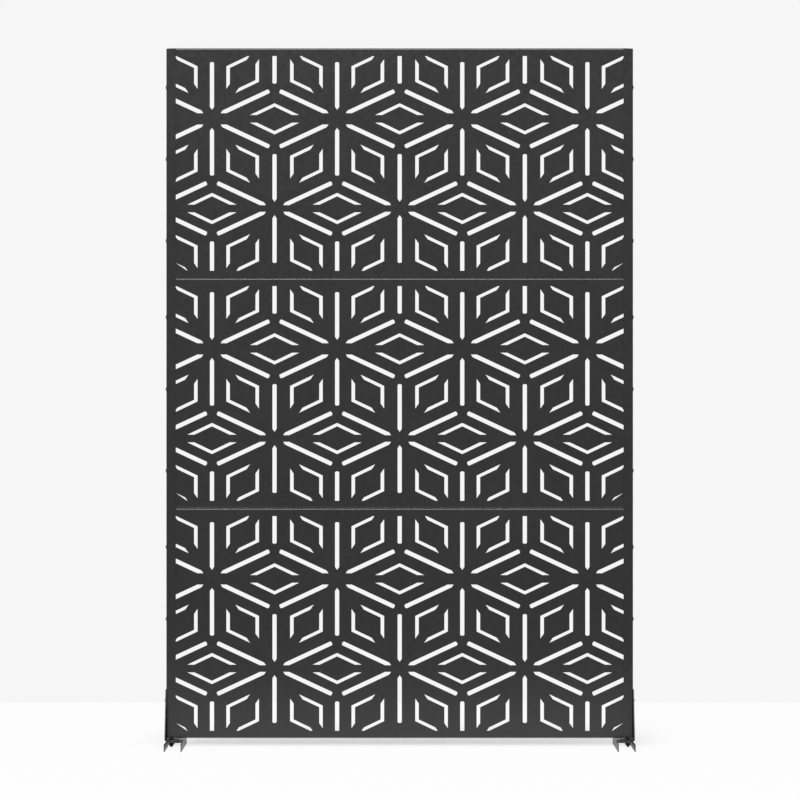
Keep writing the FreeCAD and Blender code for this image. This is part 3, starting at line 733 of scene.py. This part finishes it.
# Studio, in metres: a pale floor and wall, a large softbox high in front, one overhead, and even fill
studio = {
    "wallY": 1.78, "wallHeight": 4, "wallHalf": 4, "floorHalf": 4, "frontY": -1.6,
    # painted light: the floor glows at the first share in the band where its shadow is let show, and at the
    # second elsewhere, which paints over the shadow there
    "floor": {"colour": "#fdfdfd", "glow": (0.36, 0.97)},     # where the object's shadow falls, and elsewhere
    "wall": {"colour": "#f6f6f6", "glow": (1, 1)},
    # the band where the floor's real shadow shows; outside it the painted glow covers the shadow
    "shadow": {                                               # from no shadow to full
        "Y": ((0.02, 0.2), (1.0, 0.3)),
        "X": ((-0.76, -0.5), (0.76, 0.5)),
    },
    "bounce": "#8c8c8c",                                      # what both give back to the object as light
    "fill": {"colour": "#ffffff", "strength": 0.22},
    "lamps": {
        "frontBox": {"place": (-1.2, -8.5, 6.4), "aim": (0, 0, 1.0), "size": (5.6, 4.2), "power": 770},
        "topBox": {"place": (0, -0.6, 7.0), "aim": (0, 0.3, 0), "size": (6.0, 2.2), "power": 235},
    },
}


def makePlane(name, corners, material):
    mesh = bpy.data.meshes.new(name)
    mesh.from_pydata(corners, [], [tuple(range(len(corners)))])
    mesh.materials.append(material)
    plane = bpy.data.objects.new(name, mesh)
    bpy.context.collection.objects.link(plane)


def makeBackdrop(name, paintOf):
    # matt paint, which shows its own colour to the camera and in gloss by the share given as glow, keeps the
    # rest for the light and shadow that fall on it, and can be looked through from behind.
    # The glow is painted light. Its share is low in the band given as shadow, where the real shadow shows,
    # and high elsewhere, where it paints the floor bright over any shadow.
    colour = toLinear(paintOf["colour"])
    shadeGlow, openGlow = paintOf["glow"]
    material = newMaterial(name)
    tree = material.node_tree
    path = addNode(tree, "ShaderNodeLightPath").outputs
    seen = path["Is Camera Ray"]
    for ray in ("Is Glossy Ray", "Is Transmission Ray"):
        seen = addNode(tree, "ShaderNodeMath", {0: seen, 1: path[ray]}, operation="MAXIMUM")
    place = addNode(tree, "ShaderNodeTexCoord").outputs["Object"]
    place = addNode(tree, "ShaderNodeSeparateXYZ", {0: place}).outputs
    # painted light: less glow inside the shadow band, so the shadow shows there, more outside it
    shade = 1
    for axis, ends in studio["shadow"].items():
        for none, full in ends:
            ramp = addNode(tree, "ShaderNodeMapRange", {
                "Value": place[axis], "From Min": none, "From Max": full}, interpolation_type="SMOOTHSTEP")
            shade = addNode(tree, "ShaderNodeMath", {0: shade, 1: ramp}, operation="MULTIPLY")
    glow = addNode(tree, "ShaderNodeMapRange", {"Value": shade, "To Min": openGlow, "To Max": shadeGlow})
    share = addNode(tree, "ShaderNodeMath", {0: seen, 1: glow}, operation="MULTIPLY")
    tint = addNode(tree, "ShaderNodeMix", {"Factor": seen, 6: toLinear(studio["bounce"]), 7: colour},
                   data_type="RGBA")
    paint = addNode(tree, "ShaderNodeBsdfDiffuse", {"Color": tint.outputs[2]})
    own = addNode(tree, "ShaderNodeEmission", {"Color": colour, "Strength": 1})
    mixed = addNode(tree, "ShaderNodeMixShader", {0: share, 1: paint, 2: own})
    behind = addNode(tree, "ShaderNodeNewGeometry").outputs["Backfacing"]
    clear = addNode(tree, "ShaderNodeBsdfTransparent")
    sided = addNode(tree, "ShaderNodeMixShader", {0: behind, 1: mixed, 2: clear})
    addNode(tree, "ShaderNodeOutputMaterial", {"Surface": sided})
    return material


wide, near, far = studio["floorHalf"], studio["frontY"], studio["wallY"]
makePlane("studioFloor", [(-wide, near, 0), (wide, near, 0), (wide, far, 0), (-wide, far, 0)],
          makeBackdrop("FloorPaint", studio["floor"]))
wide, tall = studio["wallHalf"], studio["wallHeight"]
makePlane("studioWall", [(-wide, far, 0), (wide, far, 0), (wide, far, tall), (-wide, far, tall)],
          makeBackdrop("WallPaint", studio["wall"]))

for name, box in studio["lamps"].items():
    lamp = bpy.data.lights.new(name, "AREA")
    lamp.shape = "RECTANGLE"
    lamp.size, lamp.size_y = box["size"]
    lamp.energy = box["power"]
    softbox = bpy.data.objects.new(name, lamp)
    softbox.location = box["place"]
    softbox.rotation_euler = (Vector(box["aim"]) - Vector(box["place"])).to_track_quat("-Z", "Y").to_euler()
    bpy.context.collection.objects.link(softbox)

world = bpy.data.worlds.new("studioFill")
bpy.context.scene.world = world
world.use_nodes = True
sky = world.node_tree
sky.nodes.clear()
fill = addNode(sky, "ShaderNodeBackground", {
    "Color": toLinear(studio["fill"]["colour"]), "Strength": studio["fill"]["strength"]})
addNode(sky, "ShaderNodeOutputWorld", {"Surface": fill})
print("studio set")

# Camera: level, square to the screen, far off
view = {"place": (0.0008, -11.815, 0.8953), "tilt": 90, "lens": 206.53, "sensor": 36}
lens = bpy.data.cameras.new("camera")
lens.lens = view["lens"]
lens.sensor_width = view["sensor"]
camera = bpy.data.objects.new("camera", lens)
camera.location = view["place"]
camera.rotation_euler = (math.radians(view["tilt"]), 0, 0)
bpy.context.collection.objects.link(camera)
bpy.context.scene.camera = camera
bpy.context.scene.view_settings.view_transform = "Standard"
print("camera set")
